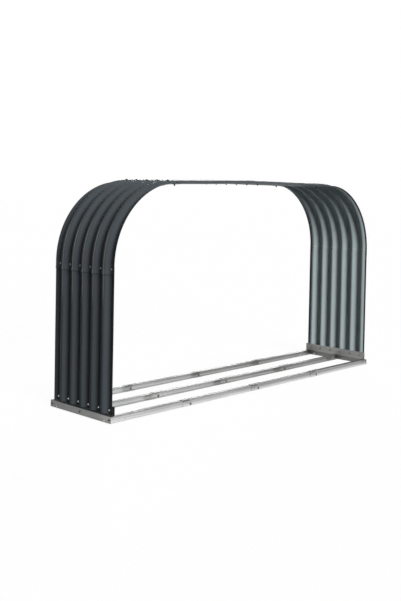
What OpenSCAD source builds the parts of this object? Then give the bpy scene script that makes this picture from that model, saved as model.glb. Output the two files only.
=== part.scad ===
// Arched log store: six corrugated steel sheets bolted into an open tunnel,
// standing on a base of two folded end brackets and three channel rails.
// X runs along the store, Y from front to back, Z up; the origin is the middle of the base, on the ground.

/* [Overall size] */
// Length over the two end brackets
store_l = 2096; // [1500:1:3000]
// Height of the straight walls, up to where the bends start
spring_z = 718; // [400:1:1200]
// Inner radius of the corner bends, at the bottom of a valley
bend_r = 385; // [200:1:500]

/* [Corrugated sheets] */
// Distance between neighbouring valleys
wave_pitch = 76; // [50:1:110]
// Number of valleys across a sheet
wave_count = 6; // [3:1:8]
// Depth of the corrugation, valley to crest
wave_depth = 18; // [8:1:26]
// Thickness of the sheet
sheet_t = 0.6; // [0.5:0.1:1.2]
// Width of the edge strip beyond the outermost valleys
lip_w = 28; // [15:1:38]
// Rise of the edge strip above the valley
lip_rise = 7; // [2:1:12]
// Rise of the roof from its outer seams to the middle one, which sheds the rain
roof_rise = 8; // [2:1:20]

/* [Laps and seams] */
// Play between two lapped sheets, and between all parts that are bolted face to face
fit_gap = 0.3; // [0.2:0.1:0.5]
// From a seam's bolts to the edge of the sheet that ends at the bend
lap_short = 10; // [8:1:20]
// From a seam's bolts to the edge of the sheet that carries on past them
lap_long = 25; // [12:1:60]
// From the middle seam's bolts to the edge of each roof sheet
lap_middle = 12; // [8:1:20]
// From the edge of a flat sheet to the start of the bend
bend_clear = 1; // [0.5:0.5:5]
// Diameter of the bolt holes in the sheets
sheet_hole_d = 6.5; // [4:0.5:8]

/* [Base brackets] */
// Thickness of the galvanised steel
steel_t = 1.2; // [0.8:0.1:2]
// Outer radius of the folds in the galvanised steel
fold_r = 3; // [2.5:0.5:5]
// Height of the outer flange, from the ground to the ledge
sill_h = 32; // [24:1:60]
// Width of the ledge outside the upright flange
ledge_w = 23; // [21:1:40]
// Height of the upright flange above the ledge
upright_h = 43; // [34:1:100]
// From the ledge to the bolts that hold the wall sheet
wall_bolt_rise = 21; // [12:1:26]
// From the ledge to the bottom edge of the wall sheet
sheet_foot_gap = 4; // [4:0.5:6]
// How far the base stands out past the sheets, at the front and at the back
base_margin = 8; // [2:1:30]

/* [Base rails] */
// Width of a rail, front to back
rail_w = 24; // [20:1:60]
// Width of the stiffening groove along a rail's web, at its mouth
groove_w = 9; // [6:1:11]
// Depth of the stiffening groove
groove_d = 2; // [0.5:0.5:2.5]
// From the mouth of a socket to its bolt
socket_lead = 55; // [12:1:80]
// How far a rail piece reaches past the joint bolt into the socket
insert_l = 25; // [12:1:60]
// From the end of the inserted rail piece to the closed end of the socket
socket_spare = 8; // [2:1:30]
// Height of the joint bolts above the ground
joint_z = 8; // [8:1:14]
// Diameter of the bolt holes in the base
base_hole_d = 6; // [4:0.5:8]
// From the end of the store to the nearer fixing hole in a rail
fixing_x = 50; // [30:1:90]
// Distance between the two fixing holes at the end of a rail
fixing_pitch = 40; // [20:1:80]
// Height of the fixing holes above the ground
fixing_z = 8; // [8:1:11]
// From the front or back of the base to the fixing hole in an end bracket
fixing_y = 47; // [40:1:80]

/* [Hidden] */

sheet_colour = [0.20, 0.22, 0.24];
steel_colour = [0.72, 0.73, 0.73];

// Straight steps that draw one wave, and one edge strip
wave_steps = 16;
lip_steps = 5;
// Facet count of round shapes
round_fn = 48;
// How far a cutting tool runs past the face it cuts
cut_over = 2;

// Corrugated sheets
first_valley = -(wave_count - 1) * wave_pitch / 2;
half_sheet = -first_valley + lip_w;
// Shift from one sheet to the sheet lapped over it
lap_step = sheet_t + fit_gap;
// Inner face of a wall sheet's valleys
wall_x = store_l / 2 - ledge_w + fit_gap;
// Inner face of a corner sheet's valleys, which laps outside the wall sheet
corner_x = wall_x + lap_step;
bend_x = corner_x - bend_r;
seam_inset = bend_clear + lap_short;
seam_x = bend_x - seam_inset;
seam_z = spring_z - seam_inset;
tail_l = seam_inset + lap_long;
corner_z = spring_z + bend_r;
roof_z = corner_z + lap_step;
right_roof_slope = atan(roof_rise / seam_x);
// The left roof sheet climbs further, so that its lap clears the right one on both sides of the ridge
left_roof_slope = atan((roof_rise + lap_step + 2 * lap_middle * tan(right_roof_slope)) / seam_x);

// Base
store_d = 2 * (half_sheet + base_margin);
sheet_foot_z = sill_h + sheet_foot_gap;
wall_bolt_z = sill_h + wall_bolt_rise;
// A socket is one sheet and one play larger than the rail piece in it, all round
socket_step = steel_t + fit_gap;
// The plain rail stands one step off the ground and passes just under the ledge
rail_top = sill_h - steel_t - fit_gap;
rail_h = rail_top - socket_step;
socket_l = socket_lead + insert_l + socket_spare + steel_t;
rail_end_x = store_l / 2 - steel_t - fit_gap;
rail_parts = 4;
rail_pitch = store_l / rail_parts;
// Height and depth of the bolt that holds a rail's end to the bracket
end_bolt_z = rail_top / 2;
end_bolt_in = rail_w / 2;
// Middle of the groove, half way from the joint holes to the upper fold
groove_z = (joint_z + base_hole_d / 2 + rail_top - fold_r) / 2;

// Height of the sheet's lower face above its valleys, at y across the sheet
function wave(y) =
    abs(y) < -first_valley
        ? wave_depth / 2 * (1 - cos(360 * (y - first_valley) / wave_pitch))
        : lip_rise / 2 * (1 - cos(180 * (abs(y) + first_valley) / lip_w));

// Places across the sheet at which the profile has a point
function sheet_stations() = concat(
    [for (i = [0 : lip_steps - 1]) -half_sheet + i * lip_w / lip_steps],
    [for (i = [0 : wave_steps * (wave_count - 1)]) first_valley + i * wave_pitch / wave_steps],
    [for (i = [1 : lip_steps]) -first_valley + i * lip_w / lip_steps]
);

// The corrugated section, raised by base along x, running along y
module sheet_profile(base) {
    ys = sheet_stations();
    lower = [for (y = ys) [base + wave(y), y]];
    upper = [for (i = [len(ys) - 1 : -1 : 0]) [base + wave(ys[i]) + sheet_t, ys[i]]];
    polygon(concat(lower, upper));
}

// Flat corrugated sheet standing on z = 0, its corrugation towards +X
module standing_sheet(base, height) {
    linear_extrude(height) sheet_profile(base);
}

// Flat corrugated sheet lying along +X from x = 0, its corrugation towards +Z
module lying_sheet(base, length) {
    translate([length, 0, 0]) rotate([0, -90, 0]) standing_sheet(base, length);
}

// A row of bolt holes, one in each valley, drilled along +X through a sheet at x
module valley_holes(x) {
    for (i = [0 : wave_count - 1])
        translate([x - cut_over, first_valley + i * wave_pitch, 0])
            rotate([0, 90, 0])
                cylinder(h = sheet_t + 2 * cut_over, d = sheet_hole_d, $fn = round_fn);
}

// The same row drilled down through a lying sheet at height z
module valley_holes_down(z) {
    rotate([0, -90, 0]) valley_holes(z);
}

// Right wall sheet, from just above the ledge to just below the bend
module wall_sheet() {
    difference() {
        translate([0, 0, sheet_foot_z])
            standing_sheet(wall_x, spring_z - bend_clear - sheet_foot_z);
        translate([0, 0, wall_bolt_z]) valley_holes(wall_x);
        translate([0, 0, seam_z]) valley_holes(wall_x);
    }
}

// Right corner sheet: a quarter bend with a flat tail at each end
module corner_sheet() {
    difference() {
        union() {
            translate([bend_x, 0, spring_z]) rotate([90, 0, 0])
                rotate_extrude(angle = 90, $fn = 4 * round_fn) sheet_profile(bend_r);
            translate([0, 0, spring_z - tail_l]) standing_sheet(corner_x, tail_l);
            translate([bend_x - tail_l, 0, 0]) lying_sheet(corner_z, tail_l);
        }
        translate([0, 0, seam_z]) valley_holes(corner_x);
        translate([seam_x, 0, 0]) valley_holes_down(corner_z);
    }
}

// Roof sheet with its outer seam at x = 0 and its middle seam at x = seam_x
module roof_sheet() {
    difference() {
        translate([-lap_short, 0, 0]) lying_sheet(0, lap_short + seam_x + lap_middle);
        valley_holes_down(0);
        translate([seam_x, 0, 0]) valley_holes_down(0);
    }
}

// Quarter of a ring between two radii, in the quadrant that sx and sy point to
module fold(sx, sy) {
    intersection() {
        difference() {
            circle(fold_r, $fn = round_fn);
            circle(fold_r - steel_t, $fn = round_fn);
        }
        translate([min(sx, 0) * fold_r, min(sy, 0) * fold_r]) square(fold_r);
    }
}

// Section of the end bracket: x runs inwards from its outer face, y is up
module bracket_profile() {
    upright_in = ledge_w + steel_t;
    square([steel_t, sill_h - fold_r]);
    translate([fold_r, sill_h - fold_r]) fold(-1, 1);
    translate([fold_r, sill_h - steel_t]) square([upright_in - 2 * fold_r, steel_t]);
    translate([upright_in - fold_r, sill_h - steel_t + fold_r]) fold(1, -1);
    translate([ledge_w, sill_h - steel_t + fold_r])
        square([steel_t, upright_h + steel_t - fold_r]);
}

// One hole drilled along +X through a steel plate at x
module plate_hole(x, y, z) {
    translate([x - cut_over, y, z]) rotate([0, 90, 0])
        cylinder(h = steel_t + 2 * cut_over, d = base_hole_d, $fn = round_fn);
}

// Right end bracket
module end_bracket() {
    outer_x = store_l / 2;
    flange_x = outer_x - steel_t;
    end_bolt_y = store_d / 2 - end_bolt_in;
    difference() {
        translate([outer_x, store_d / 2, 0]) rotate([90, 0, 0]) mirror([1, 0, 0])
            linear_extrude(store_d) bracket_profile();
        translate([0, 0, wall_bolt_z]) valley_holes(outer_x - ledge_w - steel_t);
        for (y = [-end_bolt_y, 0, end_bolt_y]) plate_hole(flange_x, y, end_bolt_z);
        for (side = [-1, 1])
            plate_hole(flange_x, side * (store_d / 2 - fixing_y), fixing_z);
    }
}

// Rounded block with its two folds on the x = 0 side and a groove there, its middle at height groove_y
module channel_outline(w, h, r, groove_y) {
    half_w = groove_w / 2;
    difference() {
        union() {
            translate([r, 0]) square([w - r, h]);
            translate([0, r]) square([r, h - 2 * r]);
            for (y = [r, h - r]) translate([r, y]) circle(r, $fn = round_fn);
        }
        translate([0, groove_y])
            polygon([
                [-groove_d, -half_w - groove_d], [groove_d, -half_w + groove_d],
                [groove_d, half_w - groove_d], [-groove_d, half_w + groove_d]
            ]);
    }
}

// Section of a rail: web at x = 0, open towards +x, grown outwards by extra
module channel_profile(extra) {
    groove_y = groove_z - socket_step + extra;
    translate([-extra, -extra])
        difference() {
            channel_outline(rail_w - socket_step + extra, rail_h + 2 * extra, fold_r, groove_y);
            translate([steel_t, steel_t])
                channel_outline(
                    rail_w + extra, rail_h + 2 * extra - 2 * steel_t, fold_r - steel_t, groove_y - steel_t);
        }
}

// The joggle between a socket and the plain rail: one plate thick, as deep as both sections
module joggle_profile() {
    difference() {
        translate([-socket_step, -socket_step])
            channel_outline(rail_w, rail_h + 2 * socket_step, fold_r, groove_z);
        translate([steel_t, steel_t])
            channel_outline(
                rail_w + socket_step, rail_h - 2 * steel_t, fold_r - steel_t,
                groove_z - socket_step - steel_t);
    }
}

// Stretch of rail along X from x0 to x1
module along_x(x0, x1) {
    translate([x0, 0, 0]) rotate([90, 0, 90]) linear_extrude(x1 - x0) children();
}

// End tab: the plate across the rail's end that bolts to the end bracket
module end_tab(x) {
    tab_gap = steel_t;
    difference() {
        translate([x, steel_t / 2, steel_t + tab_gap])
            cube([steel_t, rail_w - 2 * socket_step - steel_t, rail_h - 2 * steel_t - 2 * tab_gap]);
        plate_hole(x, end_bolt_in - socket_step, end_bolt_z - socket_step);
    }
}

// Rail piece number i of four, web outwards at y = 0 and open towards +Y
module rail_piece(i, fixings) {
    first = i == 1;
    last = i == rail_parts;
    joint_before = -store_l / 2 + (i - 1) * rail_pitch;
    joint_after = joint_before + rail_pitch;
    start = first ? -rail_end_x : joint_before - socket_lead;
    plain_start = first ? start : start + socket_l;
    end = last ? rail_end_x : joint_after + insert_l;
    difference() {
        translate([0, socket_step, socket_step]) {
            along_x(plain_start, end) channel_profile(0);
            if (!first) {
                along_x(start, plain_start) channel_profile(socket_step);
                along_x(plain_start - steel_t, plain_start) joggle_profile();
            }
            if (first) end_tab(start);
            if (last) end_tab(end - steel_t);
        }
        if (!first) joint_hole(joint_before);
        if (!last) joint_hole(joint_after);
        if (fixings && first) fixing_holes(-1);
        if (fixings && last) fixing_holes(1);
    }
}

// Bolt hole through the web of a rail joint
module joint_hole(x) {
    web_hole(x, joint_z);
}

// The two fixing holes near the end of a rail; side is -1 on the left, 1 on the right
module fixing_holes(side) {
    for (n = [0, 1]) web_hole(side * (store_l / 2 - fixing_x - n * fixing_pitch), fixing_z);
}

module web_hole(x, z) {
    translate([x, -cut_over, z]) rotate([-90, 0, 0])
        cylinder(h = steel_t + socket_step + 2 * cut_over, d = base_hole_d, $fn = round_fn);
}

module left_wall_sheet() { color(sheet_colour) mirror([1, 0, 0]) wall_sheet(); }
module right_wall_sheet() { color(sheet_colour) wall_sheet(); }
module left_corner_sheet() { color(sheet_colour) mirror([1, 0, 0]) corner_sheet(); }
module right_corner_sheet() { color(sheet_colour) corner_sheet(); }
module roof_sheet_left() {
    color(sheet_colour)
        translate([-seam_x, 0, roof_z]) rotate([0, -left_roof_slope, 0]) roof_sheet();
}
module roof_sheet_right() {
    color(sheet_colour)
        translate([seam_x, 0, roof_z])
            mirror([1, 0, 0]) rotate([0, -right_roof_slope, 0]) roof_sheet();
}
module left_end_bracket() { color(steel_colour) mirror([1, 0, 0]) end_bracket(); }
module right_end_bracket() { color(steel_colour) end_bracket(); }

module front_rail(i) {
    color(steel_colour) translate([0, -store_d / 2, 0]) rail_piece(i, true);
}
module middle_rail(i) {
    color(steel_colour) translate([0, rail_w / 2, 0]) mirror([0, 1, 0]) rail_piece(i, false);
}
module back_rail(i) {
    color(steel_colour) translate([0, store_d / 2, 0]) mirror([0, 1, 0]) rail_piece(i, true);
}

left_wall_sheet();
left_corner_sheet();
roof_sheet_left();
roof_sheet_right();
right_corner_sheet();
right_wall_sheet();
left_end_bracket();
right_end_bracket();
front_rail(1);  // front_rail_1
front_rail(2);  // front_rail_2
front_rail(3);  // front_rail_3
front_rail(4);  // front_rail_4
middle_rail(1);  // middle_rail_1
middle_rail(2);  // middle_rail_2
middle_rail(3);  // middle_rail_3
middle_rail(4);  // middle_rail_4
back_rail(1);  // back_rail_1
back_rail(2);  // back_rail_2
back_rail(3);  // back_rail_3
back_rail(4);  // back_rail_4
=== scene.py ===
# Arched log store: corrugated coated sheets bolted over a galvanised base, in metres.
import math

import bmesh
import bpy
from mathutils import Euler, Matrix, Vector, noise


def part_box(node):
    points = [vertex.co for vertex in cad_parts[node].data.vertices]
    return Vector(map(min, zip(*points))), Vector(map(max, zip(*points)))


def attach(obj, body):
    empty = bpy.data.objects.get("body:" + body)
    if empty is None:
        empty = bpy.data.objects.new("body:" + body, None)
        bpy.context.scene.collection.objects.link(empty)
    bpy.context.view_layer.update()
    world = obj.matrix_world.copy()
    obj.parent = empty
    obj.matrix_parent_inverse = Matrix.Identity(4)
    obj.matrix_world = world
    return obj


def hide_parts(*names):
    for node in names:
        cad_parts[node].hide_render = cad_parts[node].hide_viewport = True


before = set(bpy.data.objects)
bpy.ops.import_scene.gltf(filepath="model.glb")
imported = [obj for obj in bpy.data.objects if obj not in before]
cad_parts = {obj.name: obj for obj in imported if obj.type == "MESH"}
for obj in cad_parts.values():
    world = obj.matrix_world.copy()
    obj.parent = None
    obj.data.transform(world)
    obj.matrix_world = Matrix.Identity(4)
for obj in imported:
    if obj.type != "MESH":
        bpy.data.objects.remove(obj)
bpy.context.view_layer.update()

# ---------------------------------------------------------------------------
# Base: two folded end brackets and three channel rails of galvanised steel.
# Cold-folded from 1.2 mm hot-dipped strip, left bare: satin zinc with a faint
# spangle and rolling streaks, and painted shade where the store shades it.
# ---------------------------------------------------------------------------


class Signal:
    """A number, colour or direction that varies over a surface: one output of a shader node."""

    def __init__(self, tree, socket=None):
        self.tree = tree
        self.socket = socket

    def node(self, kind, settings=None, inputs=None, out=0):
        """Adds a node of this kind with its settings, and values or links in its sockets."""
        node = self.tree.nodes.new("ShaderNode" + kind)
        for name, value in (settings or {}).items():
            setattr(node, name, value)
        for name, value in (inputs or {}).items():
            if isinstance(value, Signal):
                self.tree.links.new(value.socket, node.inputs[name])
            else:
                node.inputs[name].default_value = value
        return Signal(self.tree, node.outputs[out] if node.outputs else None)

    def math(self, operation, *values):
        """One Math node with the values in its sockets."""
        return self.node("Math", {"operation": operation}, dict(enumerate(values)))

    def vector_math(self, operation, *values, out="Vector"):
        """One Vector Math node with the values in its sockets."""
        return self.node("VectorMath", {"operation": operation}, dict(enumerate(values)), out)

    def __add__(self, other):
        return self.math("ADD", self, other)

    def __radd__(self, other):
        return self.math("ADD", other, self)

    def __sub__(self, other):
        return self.math("SUBTRACT", self, other)

    def __rsub__(self, other):
        return self.math("SUBTRACT", other, self)

    def __mul__(self, other):
        return self.math("MULTIPLY", self, other)

    def clamp(self):
        """The number cut to the range from 0 to 1."""
        return self.node("Clamp", None, {"Value": self})

    def step(self, start, end):
        """Rises smoothly from 0 where this number is start to 1 where it is end."""
        return self.node(
            "MapRange", {"interpolation_type": "SMOOTHSTEP"},
            {"Value": self, "From Min": start, "From Max": end})

    def band(self, start, end, soft):
        """1 while this number lies between start and end, fading to 0 over soft beyond each."""
        return self.step(start - soft, start) * (1 - self.step(end, end + soft))

    def from_nearest(self, pitch):
        """How far this number is past the nearest multiple of pitch."""
        return self.math("WRAP", self, pitch / 2, -pitch / 2)

    def either(self, *others):
        """The largest of several numbers: a mark where this one or another is."""
        largest = self
        for other in others:
            largest = self.math("MAXIMUM", largest, other)
        return largest

    def axis(self, name):
        """The X, Y or Z part of a direction or place."""
        return self.node("SeparateXYZ", None, {"Vector": self}, out=name)

    def blend(self, low, high):
        """The colour low where this number is 0, and the colour high where it is 1."""
        # A Mix node's colour sockets are its inputs 6 and 7 and its output 2
        return self.node("Mix", {"data_type": "RGBA"}, {"Factor": self, 6: low, 7: high}, out=2)

    def relief(self, strength, depth):
        """Normals for a surface that this number raises by up to depth metres."""
        return self.node(
            "Bump", None, {"Strength": strength, "Distance": depth, "Height": self}, out="Normal")


def rgb(red, green, blue):
    """A colour as a shader socket takes it."""
    return (red, green, blue, 1)


def new_material(name):
    """An empty node material and its Signal to build from."""
    material = bpy.data.materials.new(name)
    material.use_nodes = True
    material.node_tree.nodes.clear()
    return material, Signal(material.node_tree)


def surface(build, inputs):
    """Ends a material in one Principled shader."""
    shader = build.node("BsdfPrincipled", None, inputs, out="BSDF")
    build.node("OutputMaterial", None, {"Surface": shader})


def noise_over(place, scale, detail=2.0, stretch=(1, 1, 1)):
    """Soft noise from 0 to 1 in features of 1/scale metres, longer along a low stretch."""
    stretched = place.vector_math("MULTIPLY", place, stretch)
    return place.node(
        "TexNoise", None,
        {"Vector": stretched, "Scale": scale, "Detail": detail, "Roughness": 0.55}, out="Fac")


# Zinc crystals, rolling streaks and dull patches to a metre
crystal_scale = 130.0
streak_scale = 60.0
patch_scale = 14.0


def galvanised(name, zinc, dull, painted_shade, streak_stretch, rough, shade_where):
    """Bare hot-dipped zinc: crystals, streaks and dull patches, and painted shade that darkens it
    towards its last colour where the given mask puts it.
    """
    material, build = new_material(name)
    place = build.node("TexCoord", out="Object")
    crystals = build.node(
        "TexVoronoi", {"feature": "F1"}, {"Vector": place, "Scale": crystal_scale}, out="Color")
    crystal = build.node("SeparateColor", None, {"Color": crystals}, out="Red")
    streaks = noise_over(place, streak_scale, 3.0, streak_stretch)
    patches = noise_over(place, patch_scale, 4.0, [math.sqrt(s) for s in streak_stretch])
    worn = (patches.step(0.38, 0.66) * 0.65 + crystal * 0.2 + streaks * 0.25).clamp()
    # Painted shade from the mask, varied a little by the patches: it darkens the colour and dulls
    # the metal
    shade_amount = (shade_where(build, place) + (patches - 0.5) * 0.2).clamp()
    surface(build, {
        "Base Color": shade_amount.blend(worn.blend(rgb(*zinc), rgb(*dull)), rgb(*painted_shade)),
        "Metallic": 0.9 - shade_amount * 0.5,
        "Roughness": rough + worn * 0.14 + crystal * 0.06 + shade_amount * 0.1,
        "Normal": (crystal * 0.3 + streaks * 0.7).relief(0.25, 0.0002),
    })
    return material


base_low, base_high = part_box("left_end_bracket")[0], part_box("right_end_bracket")[1]
rail_rows = ("front", "middle", "back")
rail_parts = (1, 2, 3, 4)
half_rail = 0.012
joint_pitch = (base_high.x - base_low.x) / len(rail_parts)
rail_pitch = (base_high.y - base_low.y) / 2 - half_rail
# How much of a face's direction lies along an axis, from not facing that way to facing it
faced = (0.5, 0.8)
# Gap between the middle rail and an outer one, from the store's middle
rail_gap = (0.10, 0.15)
# The back part of a rail's top, from the rail's middle
back_part_y = (-0.009, -0.003)
# Lengths of the store over which the webs' painted shade deepens to the right, and their middle
# with them
greyer_x = (-1.1, 0.3)
middle_greyer_x = (-0.7, 0.4)
# Heights on a rail: its web and the middle of that, where its top begins, and its top fold
web_z = (-0.002, 0.022)
web_middle_z = (0.008, 0.013)
rail_top_z = (0.020, 0.024)
rail_fold_z = (0.0235, 0.0255)
# Stretches of a rail that painted shadow and dark speckles mark, from the nearest joint's bolt
socket_mouth = (-0.054, -0.012)
middle_inlet = (-0.085, -0.060)
back_inlet = (-0.045, -0.005)
speckled_x = (-0.058, 0.002)
speckle_scale = 170.0
# A bracket behind its front end, and at its back end
past_front_y = (-0.20, -0.12)
back_end_y = (0.10, 0.20)
# Heights on a bracket: the ledge with its folds, its upper face, and the turn of its underside
ledge_z = (0.028, 0.040)
ledge_top_z = (0.031, 0.033)
underside_z = (0.027, 0.034)


def painted_shade_on_rail(build, place):
    """Painted shade on a rail: dark on the top edges, the joints and inside the front rail, grey
    down the webs and more so to the right, with noisy dark speckles by the joints.
    """
    along, across, height = (place.axis(name) for name in "XYZ")
    normal = build.node("NewGeometry", out="Normal")
    facing_up = normal.axis("Z").step(*faced)
    facing_back = normal.axis("Y").step(*faced)
    is_front = 1 - across.step(-rail_gap[1], -rail_gap[0])
    is_back = across.step(*rail_gap)
    is_middle = 1 - is_front.either(is_back)
    rightward = along.step(*greyer_x)
    behind = across.from_nearest(rail_pitch)
    beside = along.from_nearest(joint_pitch)

    # Painted shadow in the socket mouths and inside the channels left of each joint, and noisy
    # dark speckles by each joint
    mouth = beside.band(*socket_mouth, 0.004) * (1 - is_middle)
    inlet = (beside.band(*middle_inlet, 0.035) * is_middle
             + beside.band(*back_inlet, 0.030) * is_back)
    joint_speckles = noise_over(place, speckle_scale).step(0.52, 0.62) * beside.band(*speckled_x, 0.012)
    at_joint = (inlet * (0.35 - is_back * 0.12) + joint_speckles * 0.35) * (1 - facing_back)

    # Painted shade on the top faces and folds, down the webs and in their middle, and inside the
    # front rail
    upper = height.step(*rail_top_z)
    fold = height.step(*rail_fold_z)
    back_part = behind.step(*back_part_y)
    top_edge = 0.15 + back_part.either(is_front) * 0.70 + mouth * 0.3 + rightward * 0.1
    below_fold = height.step(*web_z) * (1 - fold) * (0.27 + rightward * 0.47)
    web_middle = (height.band(*web_middle_z, 0.007) * (1 - is_front)
                  * along.step(*middle_greyer_x))
    inside_front = is_front * facing_back.either(facing_up * (1 - upper))
    return (facing_up * upper * top_edge).either(
        below_fold + web_middle * 0.40 + at_joint,
        fold * (0.70 + mouth * 0.3),
        inside_front * 0.6)


def painted_shade_on_bracket(build, place):
    """Painted shade on a bracket: dark on the ledge, less so at its back end, and behind the
    sheet's foot; thin on the flange behind its front end, and on the inner side, more so at the
    back end and under the ledge.
    """
    across, height = place.axis("Y"), place.axis("Z")
    normal = build.node("NewGeometry", out="Normal")
    facing_up = normal.axis("Z").step(*faced)
    outward = (normal.axis("X") * place.axis("X")).step(0.2, 0.5)
    above_ledge = height.step(*ledge_top_z)
    past_front_end = across.step(*past_front_y)
    back_end = across.step(*back_end_y)
    # Painted shade on the ledge, the faces behind the sheet, the flange and the inner side
    return (facing_up * height.band(*ledge_z, 0.002) * (0.85 - back_end * 0.35)).either(
        outward * above_ledge * 0.95,
        outward * (1 - above_ledge) * past_front_end * 0.16,
        (1 - outward) * (1 - height.step(*underside_z)) * 0.3,
        (1 - outward) * (0.06 + back_end * 0.30))


# The last colour of each finish is the darkest tone of its painted shade
rail_zinc = galvanised(
    "rail_zinc", zinc=(0.74, 0.745, 0.745), dull=(0.60, 0.605, 0.605), painted_shade=(0.13, 0.13, 0.125),
    streak_stretch=(0.05, 1, 1), rough=0.35, shade_where=painted_shade_on_rail)
# The brackets' zinc is a darker copy of the rails' zinc, painted shade for the brackets' shaded
# faces
shaded_bracket_zinc = galvanised(
    "shaded_bracket_zinc", zinc=(0.33, 0.33, 0.325), dull=(0.235, 0.235, 0.232),
    painted_shade=(0.040, 0.043, 0.048), streak_stretch=(1, 0.05, 1), rough=0.37,
    shade_where=painted_shade_on_bracket)


def dress(node, material):
    """Gives a CAD solid its finish."""
    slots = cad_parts[node].data.materials
    slots.clear()
    slots.append(material)


for row in rail_rows:
    for part in rail_parts:
        dress(f"{row}_rail_{part}", rail_zinc)
for end in ("left", "right"):
    dress(f"{end}_end_bracket", shaded_bracket_zinc)

# ---------------------------------------------------------------------------
# Base bolts: one through each rail joint and one through each rail end.
# Zinc-plated M5 machine screws with a pan head and cross recess outside, a
# hexagon nut inside the channel or bracket, and a washer under each.
# ---------------------------------------------------------------------------
bolt_r = 0.0025
head_r = 0.0046
head_h = 0.0030
washer_r = 0.0050
washer_t = 0.0010
nut_across_flats = 0.008
nut_h = 0.004
thread_pitch = 0.0008
thread_grooves = 8
# Thread that stands out past the nut
free_thread = 0.003
round_steps = 24


def ring(mesh, radii, z):
    """A closed ring of points at height z; radii gives each point's distance from the axis."""
    turn = 2 * math.pi / len(radii)
    return [mesh.verts.new((r * math.cos(i * turn), r * math.sin(i * turn), z))
            for i, r in enumerate(radii)]


def lathe(mesh, rings, cap_first=True, cap_last=True):
    """Joins rings of the same count into a closed skin."""
    for low, high in zip(rings, rings[1:]):
        for i in range(len(low)):
            j = (i + 1) % len(low)
            mesh.faces.new((low[i], low[j], high[j], high[i]))
    if cap_first:
        mesh.faces.new(tuple(reversed(rings[0])))
    if cap_last:
        mesh.faces.new(tuple(rings[-1]))


def round_rings(mesh, outline):
    """Rings for a turned part, from (radius, height) pairs that run upwards."""
    return [ring(mesh, [r] * round_steps, z) for r, z in outline]


def washer(mesh, z):
    """Flat washer with eased rims, from z upwards."""
    ease = washer_t / 4
    outline = [
        (bolt_r, z), (washer_r - ease, z), (washer_r, z + ease),
        (washer_r, z + washer_t - ease), (washer_r - ease, z + washer_t), (bolt_r, z + washer_t)]
    lathe(mesh, round_rings(mesh, outline), cap_first=False, cap_last=False)


def pan_head(mesh, z):
    """Domed head from z upwards with a cross recess in its crown."""
    rim_z, crown_z, recess_z = (z + head_h * share for share in (0.35, 0.97, 0.45))
    dome = [(head_r * math.cos(a), rim_z + head_h * 0.65 * math.sin(a))
            for a in (0, 0.3, 0.6, 0.9)]
    rings = round_rings(mesh, [(bolt_r, z), (head_r * 0.97, z)] + dome)
    arm, waist = head_r * 0.42, head_r * 0.14
    quarter = round_steps // 4
    cross = [arm if i % quarter in (0, 1, quarter - 1) else waist for i in range(round_steps)]
    rings += [ring(mesh, cross, crown_z), ring(mesh, [0.8 * r for r in cross], recess_z)]
    lathe(mesh, rings, cap_first=False)


def hex_nut(mesh, z):
    """Hexagon nut from z downwards, its corners turned off at both faces."""
    corner = nut_across_flats / 2 / math.cos(math.pi / 6)
    ease = nut_h / 8
    full, eased = [corner] * 6, [corner * 0.93] * 6
    lathe(mesh, [ring(mesh, eased, z - nut_h), ring(mesh, full, z - nut_h + ease),
                 ring(mesh, full, z - ease), ring(mesh, eased, z)])


def threaded_shank(mesh, top, bottom):
    """Shank from top down to bottom, with thread grooves along its free end."""
    tip_r, groove_r = bolt_r * 0.75, bolt_r * 0.84
    outline = [(tip_r, bottom)]
    for i in range(thread_grooves):
        outline += [(bolt_r, bottom + (i + 0.6) * thread_pitch),
                    (groove_r, bottom + (i + 1) * thread_pitch)]
    outline += [(bolt_r, bottom + (thread_grooves + 0.4) * thread_pitch), (bolt_r, top)]
    lathe(mesh, round_rings(mesh, outline))


def bolt_into(mesh, at, outward, grip):
    """Adds one bolt: its head bears at point at, facing outward, and its nut lies grip behind."""
    part = bmesh.new()
    washer(part, 0.0)
    pan_head(part, washer_t)
    head_faces = len(part.faces)
    threaded_shank(part, washer_t, -grip - washer_t - nut_h - free_thread)
    washer(part, -grip - washer_t)
    hex_nut(part, -grip - washer_t)
    for face in list(part.faces)[head_faces:]:
        face.material_index = 1
    turn = Vector(outward).to_track_quat("Z", "Y").to_matrix().to_4x4()
    # Every bolt came to rest at another angle; its place gives a different one to each
    rest_angle = 1.7 * (at[0] * 37 + at[1] * 53 + at[2] * 71)
    part.transform(Matrix.Translation(at) @ turn @ Matrix.Rotation(rest_angle, 4, "Z"))
    piece = bpy.data.meshes.new("bolt")
    part.to_mesh(piece)
    part.free()
    mesh.from_mesh(piece)
    bpy.data.meshes.remove(piece)


def finish_piece(name, mesh, materials, crease=35):
    """Turns a built mesh into a piece that rides on the store, smooth up to the crease angle."""
    data = bpy.data.meshes.new(name)
    bmesh.ops.recalc_face_normals(mesh, faces=mesh.faces)
    mesh.to_mesh(data)
    mesh.free()
    for face in data.polygons:
        face.use_smooth = True
    data.set_sharp_from_angle(angle=math.radians(crease))
    for material in materials:
        data.materials.append(material)
    piece = bpy.data.objects.new(name, data)
    bpy.context.scene.collection.objects.link(piece)
    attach(piece, "root")
    return piece


def plated(name, tone, rough):
    """Zinc plating on small fasteners: fine grain, and a tone that differs a little by place."""
    material, build = new_material(name)
    place = build.node("TexCoord", out="Object")
    grain = noise_over(place, 900.0)
    batch = noise_over(place, 9.0, 1.0)
    darker = rgb(*[0.7 * c for c in tone])
    surface(build, {
        "Base Color": (grain * 0.4 + batch * 0.6).clamp().blend(rgb(*tone), darker),
        "Metallic": 0.9,
        "Roughness": rough + grain * 0.12,
        "Normal": grain.relief(0.2, 0.0001),
    })
    return material


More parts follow.
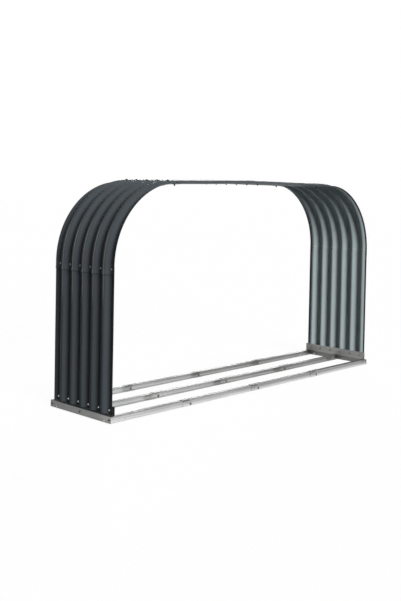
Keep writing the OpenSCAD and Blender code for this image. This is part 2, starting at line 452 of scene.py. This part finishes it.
# One zinc plating in three tones: the bright one is its own, the half-shaded and shaded ones are
# painted shade for screws that sit in shade; the nut plating is yellowish passivated zinc
bright_heads = plated("bright_heads", (0.60, 0.61, 0.60), 0.34)
half_shaded_heads = plated("half_shaded_heads", (0.22, 0.22, 0.205), 0.42)
shaded_heads = plated("shaded_heads", (0.075, 0.074, 0.066), 0.45)
nut_plating = plated("nut_plating", (0.22, 0.205, 0.15), 0.42)
steel_t = 0.0012
# Play between two pieces that lie on one another
play = 0.0003
joint_grip = 2 * steel_t + play
joint_z = 0.008
rail_end_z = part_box("front_rail_1")[1].z / 2

joints = bmesh.new()
for row, side in zip(rail_rows, (-1, 1, 1)):
    low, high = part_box(f"{row}_rail_2")
    web_y = low.y if side < 0 else high.y
    for part in rail_parts[:-1]:
        joint_x = base_low.x + part * joint_pitch
        bolt_into(joints, (joint_x, web_y, joint_z), (0, side, 0), joint_grip)
finish_piece("rail_joint_bolts", joints, (shaded_heads, nut_plating))

ends = bmesh.new()
for side, node in ((-1, "left_end_bracket"), (1, "right_end_bracket")):
    low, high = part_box(node)
    flange_x = low.x if side < 0 else high.x
    for y in (low.y + half_rail, 0.0, high.y - half_rail):
        bolt_into(ends, (flange_x, y, rail_end_z), (side, 0, 0), joint_grip)
finish_piece("rail_end_bolts", ends, (shaded_heads, nut_plating))

# ---------------------------------------------------------------------------
# Corrugated sheets: 0.6 mm steel rolled to a 76 mm wave, coil-coated
# anthracite outside and a paler grey-green inside. Two wall sheets stand in
# the brackets, two quarter bends lap over them, two roof sheets lap on top.
# ---------------------------------------------------------------------------
wave_pitch = 0.076
wave_depth = 0.018
wave_count = 6
sheet_t = 0.0006
lip_w = 0.028
lip_rise = 0.007
bend_r = 0.385
# Rise from a sheet to the one that laps over it
lap_step = sheet_t + play
# From the start of a bend to the bolts of the seam below or beside it
seam_inset = 0.011
# Mesh lines to a wave and to an edge lip, and their distance along a sheet
across_steps = 20
lip_steps = 7
along_step = 0.012
# How far the crests of an overlapping sheet spring off the one below at its free end,
# over what length, and the share of that which its bolted valleys have
flare = 0.0040
flare_l = 0.022
valley_flare = 0.15
# Slow unevenness of thin sheet: its depth, and its waves to a metre
ripple = 0.0005
ripple_scale = 4.5

first_valley = -(wave_count - 1) * wave_pitch / 2
half_sheet = -first_valley + lip_w
wall_low, wall_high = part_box("right_wall_sheet")
corner_low, corner_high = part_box("right_corner_sheet")
wall_x = wall_low.x
corner_x = corner_high.x - wave_depth - sheet_t
corner_z = corner_high.z - wave_depth - sheet_t
bend_x = corner_x - bend_r
bend_z = corner_z - bend_r
roof_z = corner_z + lap_step
seam_x = bend_x - seam_inset
seam_z = bend_z - seam_inset

# Width and blur of the hem that is folded in at a sheet's edges
hem_w = 0.0095
hem_blur = 0.002
# Height of the painted shadow in the step under a corner sheet's foot, and of the painted
# highlight on a wall sheet's top rim inside
lap_shadow_h = 0.005
rim_highlight_h = 0.0025
# Where a painted highlight runs along the crests: across each crest, and up the start of the bend
crest_highlight_y = (-0.003, 0.001)
crest_highlight_z = (0.62, 0.84)


def coated_sheet(name):
    """Coil coating: anthracite on the outward face and the hems, grey-green inside."""
    material, build = new_material(name)
    place = build.node("TexCoord", out="Object")
    normal = build.node("NewGeometry", out="Normal")
    # The nearest point of the box between the bends; a sheet's outward side faces away from it
    near = place.vector_math("MINIMUM", place, (bend_x, half_sheet, bend_z))
    near = near.vector_math("MAXIMUM", near, (-bend_x, -half_sheet, 0.0))
    away = place.vector_math("SUBTRACT", place, near)
    away = away.vector_math("MULTIPLY", away, (1, 0, 1))
    away = away.vector_math("NORMALIZE", away)
    side = away.vector_math("DOT_PRODUCT", away, normal, out="Value")
    outside = side.step(-0.2, 0.2)

    runs = noise_over(place, 26.0, 3.0, (0.07, 1, 0.07))
    cloud = noise_over(place, 5.0, 3.0)
    grain = noise_over(place, 420.0)
    scuffs = noise_over(place, 75.0, 4.0, (0.3, 1, 0.3)).step(0.66, 0.74)
    dust = (runs * 0.5 + cloud * 0.5).clamp()
    across, height = place.axis("Y"), place.axis("Z")
    hem = across.math("ABSOLUTE", across).step(half_sheet - hem_w - hem_blur, half_sheet - hem_w)
    # Painted shadow in the step under a corner sheet's foot, and a painted highlight along a wall
    # sheet's top rim
    painted_shade = height.band(corner_low.z - lap_shadow_h, corner_low.z, 0.002)
    rim_highlight = height.band(wall_high.z - rim_highlight_h, wall_high.z, 0.001)
    crest = across.from_nearest(wave_pitch)
    # Painted highlight: a light line along each crest low on the bend
    crest_highlight = crest.band(*crest_highlight_y, 0.002) * height.band(*crest_highlight_z, 0.12)

    coat = dust.blend(rgb(0.068, 0.080, 0.090), rgb(0.085, 0.097, 0.107))
    coat = (painted_shade * 0.3).blend(coat, rgb(0.010, 0.011, 0.012))
    coat = (crest_highlight * 0.7).blend(coat, rgb(0.34, 0.35, 0.355))
    back = dust.blend(rgb(0.50, 0.585, 0.60), rgb(0.57, 0.655, 0.67))
    back = (rim_highlight * 0.4).blend(back, rgb(0.80, 0.82, 0.82))
    colour = outside.either(hem).blend(back, coat)
    surface(build, {
        "Base Color": (scuffs * 0.25).blend(colour, rgb(0.12, 0.125, 0.125)),
        "Roughness": 0.34 - outside * 0.04 + dust * 0.08 + grain * 0.05 + scuffs * 0.1,
        "Specular IOR Level": 0.04,
        "Normal": (grain * 0.25 + cloud * 0.75).relief(0.15, 0.0008),
    })
    return material


coating = coated_sheet("coil_coating")


def wave(y):
    """Height of the sheet above its valleys, at y across it."""
    if abs(y) < -first_valley:
        return wave_depth / 2 * (1 - math.cos(2 * math.pi * (y - first_valley) / wave_pitch))
    return lip_rise / 2 * (1 - math.cos(math.pi * (abs(y) + first_valley) / lip_w))


def sheet_columns():
    """Places across the sheet at which its mesh has a line."""
    waves = across_steps * (wave_count - 1)
    return ([-half_sheet + i * lip_w / lip_steps for i in range(lip_steps)]
            + [first_valley + i * wave_pitch / across_steps for i in range(waves + 1)]
            + [-first_valley + (i + 1) * lip_w / lip_steps for i in range(lip_steps)])


def straight(start, end):
    """Stations along a straight run in the XZ plane, each a point and the way out."""
    start, end = Vector(start), Vector(end)
    along = (end - start).normalized()
    out = Vector((along[1], -along[0]))
    count = max(2, round((end - start).length / along_step))
    return [(start.lerp(end, i / count), out) for i in range(count + 1)]


def quarter_bend():
    """Stations round the right bend, from its foot to the roof."""
    count = round(math.pi / 2 * bend_r / along_step)
    stations = []
    for i in range(count + 1):
        angle = math.pi / 2 * i / count
        out = Vector((math.cos(angle), math.sin(angle)))
        stations.append((Vector((bend_x, bend_z)) + bend_r * out, out))
    return stations


def formed_sheet(name, node, stations, flared=False, mirrored=False):
    """Builds a sheet along its stations: two skins a thickness apart, joined at the cut edges.

    Stations lie on the right half; mirrored turns the sheet over to the left. A flared sheet's
    crests spring off at its first station.
    """
    mesh = bmesh.new()
    columns = sheet_columns()
    lengths = [0.0]
    for (a, _), (b, _) in zip(stations, stations[1:]):
        lengths.append(lengths[-1] + (b - a).length)
    skins = []
    for depth in (0.0, sheet_t):
        skin = []
        for (point, out), length in zip(stations, lengths):
            spring = flare * max(0.0, 1 - length / flare_l) ** 2 if flared else 0.0
            line = []
            for y in columns:
                crest = valley_flare + (1 - valley_flare) * wave(y) / wave_depth
                height = wave(y) + depth + spring * crest
                x, z = point + out * height
                swell = ripple * noise.noise(Vector((x, y, z)) * ripple_scale)
                x += out[0] * swell
                z += out[1] * swell
                line.append(mesh.verts.new((-x if mirrored else x, y, z)))
            skin.append(line)
        skins.append(skin)
    inner, outer = skins
    rows, cols = len(stations), len(columns)
    for r in range(rows - 1):
        for c in range(cols - 1):
            mesh.faces.new((inner[r][c], inner[r][c + 1], inner[r + 1][c + 1], inner[r + 1][c]))
            mesh.faces.new((outer[r][c], outer[r + 1][c], outer[r + 1][c + 1], outer[r][c + 1]))
        for c in (0, cols - 1):
            mesh.faces.new((inner[r][c], inner[r + 1][c], outer[r + 1][c], outer[r][c]))
    for r in (0, rows - 1):
        for c in range(cols - 1):
            mesh.faces.new((inner[r][c], outer[r][c], outer[r][c + 1], inner[r][c + 1]))
    piece = finish_piece(name, mesh, (coating,), crease=50)
    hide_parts(node)


def roof_run(low, high, outer_x, inner_x):
    """Stations of a roof sheet that climbs from its seam inwards, and its height at the middle."""
    climb = (high.z - low.z - wave_depth - sheet_t) / (high.x - low.x)
    ends = [(x, roof_z + climb * (seam_x - x)) for x in (outer_x, inner_x)]
    return straight(*ends), roof_z + climb * seam_x


wall_run = straight((wall_x, wall_low.z), (wall_x, wall_high.z))
bend_run = quarter_bend()
bend_foot, bend_top = bend_run[0][0], bend_run[-1][0]
corner_run = (straight((corner_x, corner_low.z), bend_foot)[:-1] + bend_run
              + straight(bend_top, (corner_low.x, corner_z))[1:])
left_low, left_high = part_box("roof_sheet_left")
right_low, right_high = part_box("roof_sheet_right")
left_roof_run, left_ridge_z = roof_run(left_low, left_high, -left_low.x, -left_high.x)
right_roof_run, right_ridge_z = roof_run(right_low, right_high, right_high.x, right_low.x)

formed_sheet("wall_sheet_left", "left_wall_sheet", wall_run, mirrored=True)
formed_sheet("wall_sheet_right", "right_wall_sheet", wall_run)
formed_sheet("corner_sheet_left", "left_corner_sheet", corner_run, flared=True, mirrored=True)
formed_sheet("corner_sheet_right", "right_corner_sheet", corner_run, flared=True)
formed_sheet("roof_sheet_left_half", "roof_sheet_left", left_roof_run, flared=True, mirrored=True)
formed_sheet("roof_sheet_right_half", "roof_sheet_right", right_roof_run)

# ---------------------------------------------------------------------------
# Sheet bolts: seven rows of six in the valleys, at the feet of the walls, at
# the laps beside each bend and at the middle of the roof. The same M5 screws,
# with the nuts and a few threads standing into the store.
# ---------------------------------------------------------------------------
foot_z = 0.053
upright_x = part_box("right_end_bracket")[0].x


def bolt_row(name, at, outward, grip, heads=half_shaded_heads, nuts=shaded_heads):
    """One row of bolts in the valleys, with heads at (x, z) that face outward in the XZ plane."""
    mesh = bmesh.new()
    for i in range(wave_count):
        point = (at[0], first_valley + i * wave_pitch, at[1])
        bolt_into(mesh, point, (outward[0], 0, outward[1]), grip)
    finish_piece(name, mesh, (heads, nuts))


for side, word in ((-1, "left"), (1, "right")):
    bolt_row(f"foot_bolts_{word}", (side * (wall_x + sheet_t), foot_z), (side, 0),
             wall_x + sheet_t - upright_x, heads=bright_heads, nuts=nut_plating)
    bolt_row(f"wall_seam_bolts_{word}", (side * (corner_x + sheet_t), seam_z), (side, 0),
             corner_x + sheet_t - wall_x, nuts=half_shaded_heads)
    bolt_row(f"roof_seam_bolts_{word}", (side * seam_x, roof_z + sheet_t), (0, 1),
             roof_z + sheet_t - corner_z)
bolt_row("middle_seam_bolts", (0.0, left_ridge_z + sheet_t), (0, 1),
         left_ridge_z + sheet_t - right_ridge_z)

# ---------------------------------------------------------------------------
# Studio: a pale floor that keeps the store's soft shadow, a white surround,
# one wide soft light at the front, one low at the back right, a weak one above.
# ---------------------------------------------------------------------------
floor_r = 40.0
# Brightness of the open floor where it is pictured, the share of it that a painted contact
# shadow takes away where something touches the floor, and how far from the touch that reaches
floor_lift = 0.951
contact_shadow_share = 0.4
contact_shadow_reach = 0.016


def shown_rays(build):
    """1 for rays that picture the surroundings: straight to the camera, or in gloss."""
    camera = build.node("LightPath", out="Is Camera Ray")
    return camera.either(build.node("LightPath", out="Is Glossy Ray"))


def pale_floor():
    """Matt floor, lifted to white where it is pictured, so that only the shadows show, with a
    painted contact shadow from ambient occlusion where things touch it.
    """
    material, build = new_material("pale_floor")
    contact_shadow = build.node("AmbientOcclusion", None, {"Distance": contact_shadow_reach}, out="AO")
    lift = shown_rays(build) * floor_lift * (1 - contact_shadow_share + contact_shadow * contact_shadow_share)
    surface(build, {
        "Base Color": rgb(0.1, 0.1, 0.1), "Roughness": 0.9, "Specular IOR Level": 0.0,
        "Emission Color": lift, "Emission Strength": 1.0})
    return material


floor_mesh = bmesh.new()
bmesh.ops.create_circle(floor_mesh, cap_ends=True, segments=64, radius=floor_r)
floor_data = bpy.data.meshes.new("floor")
floor_mesh.to_mesh(floor_data)
floor_mesh.free()
floor_data.materials.append(pale_floor())
floor = bpy.data.objects.new("floor", floor_data)
bpy.context.scene.collection.objects.link(floor)

world = bpy.data.worlds.new("studio")
world.use_nodes = True
world.node_tree.nodes.clear()
surround = Signal(world.node_tree)
white = surround.node(
    "Background", None, {"Color": shown_rays(surround), "Strength": 1.0}, out="Background")
surround.node("OutputWorld", None, {"Surface": white})
bpy.context.scene.world = world


def soft_light(name, towards, spread, level):
    """Far soft light from this direction; level 1 shows a white card that faces it as white."""
    lamp = bpy.data.lights.new(name, "SUN")
    lamp.angle = math.radians(spread)
    lamp.energy = math.pi * level
    light = bpy.data.objects.new(name, lamp)
    bpy.context.scene.collection.objects.link(light)
    light.rotation_euler = Vector(towards).to_track_quat("Z", "Y").to_euler()


soft_light("front_light", (-0.21, -0.92, 0.31), spread=30, level=1.08)
soft_light("top_light", (0.0, 0.0, 1.0), spread=60, level=0.04)
soft_light("back_light", (0.80, 0.60, 0.08), spread=30, level=0.70)

# Camera: five metres off to the front left, at about the height of the roof
camera_data = bpy.data.cameras.new("camera")
camera_data.lens = 54.13
camera_data.shift_y = -0.1482
camera_yaw = math.radians(46.26)
camera_pitch = math.radians(-1.80)
camera_roll = math.radians(1.11)
camera = bpy.data.objects.new("camera", camera_data)
camera.location = (-3.744, -3.350, 1.112)
camera.rotation_mode = "QUATERNION"
heading = Matrix.Rotation(-camera_yaw, 3, "Z")
level_view = Euler((math.pi / 2 + camera_pitch, 0, 0)).to_matrix()
tilt = Matrix.Rotation(camera_roll, 3, "Z")
camera.rotation_quaternion = (heading @ level_view @ tilt).to_quaternion()
bpy.context.scene.collection.objects.link(camera)
bpy.context.scene.camera = camera
bpy.context.scene.view_settings.view_transform = "Standard"
